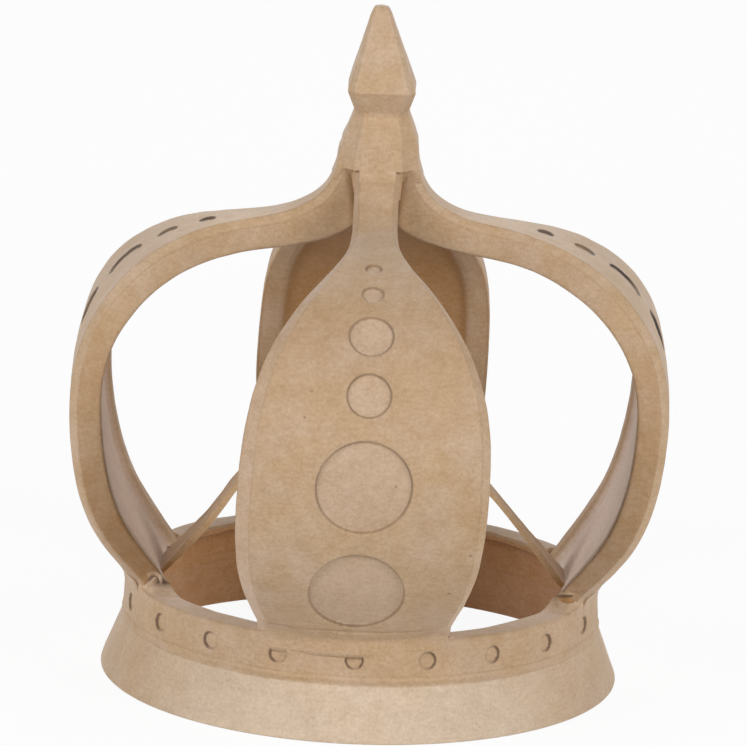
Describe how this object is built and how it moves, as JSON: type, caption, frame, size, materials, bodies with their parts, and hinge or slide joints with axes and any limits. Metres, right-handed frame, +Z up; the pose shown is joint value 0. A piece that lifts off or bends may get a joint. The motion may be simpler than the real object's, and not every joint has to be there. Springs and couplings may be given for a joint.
{
  "type": "paper crown",
  "caption": "Papier-mâché crown blank: flared rim band, leaf-shaped arches with sunk round panels meeting under a spear finial, and an inner head strap.",
  "frame": {"origin": "middle of the rim band's bottom edge", "axes": "+Z up through the finial, -Y towards the front arch, +X towards the right arch"},
  "size_m": [0.2382, 0.2382, 0.2721],
  "materials": {
    "kraft_rim": "matte",
    "kraft_arch": "matte",
    "kraft_finial": "matte",
    "kraft_strap": "matte"
  },
  "bodies": {
    "root": {"rim_band": "kraft_rim", "front_arch": "kraft_arch", "back_arch": "kraft_arch", "left_arch": "kraft_arch", "right_arch": "kraft_arch", "finial": "kraft_finial", "head_strap": "kraft_strap"}
  },
  "joints": []
}
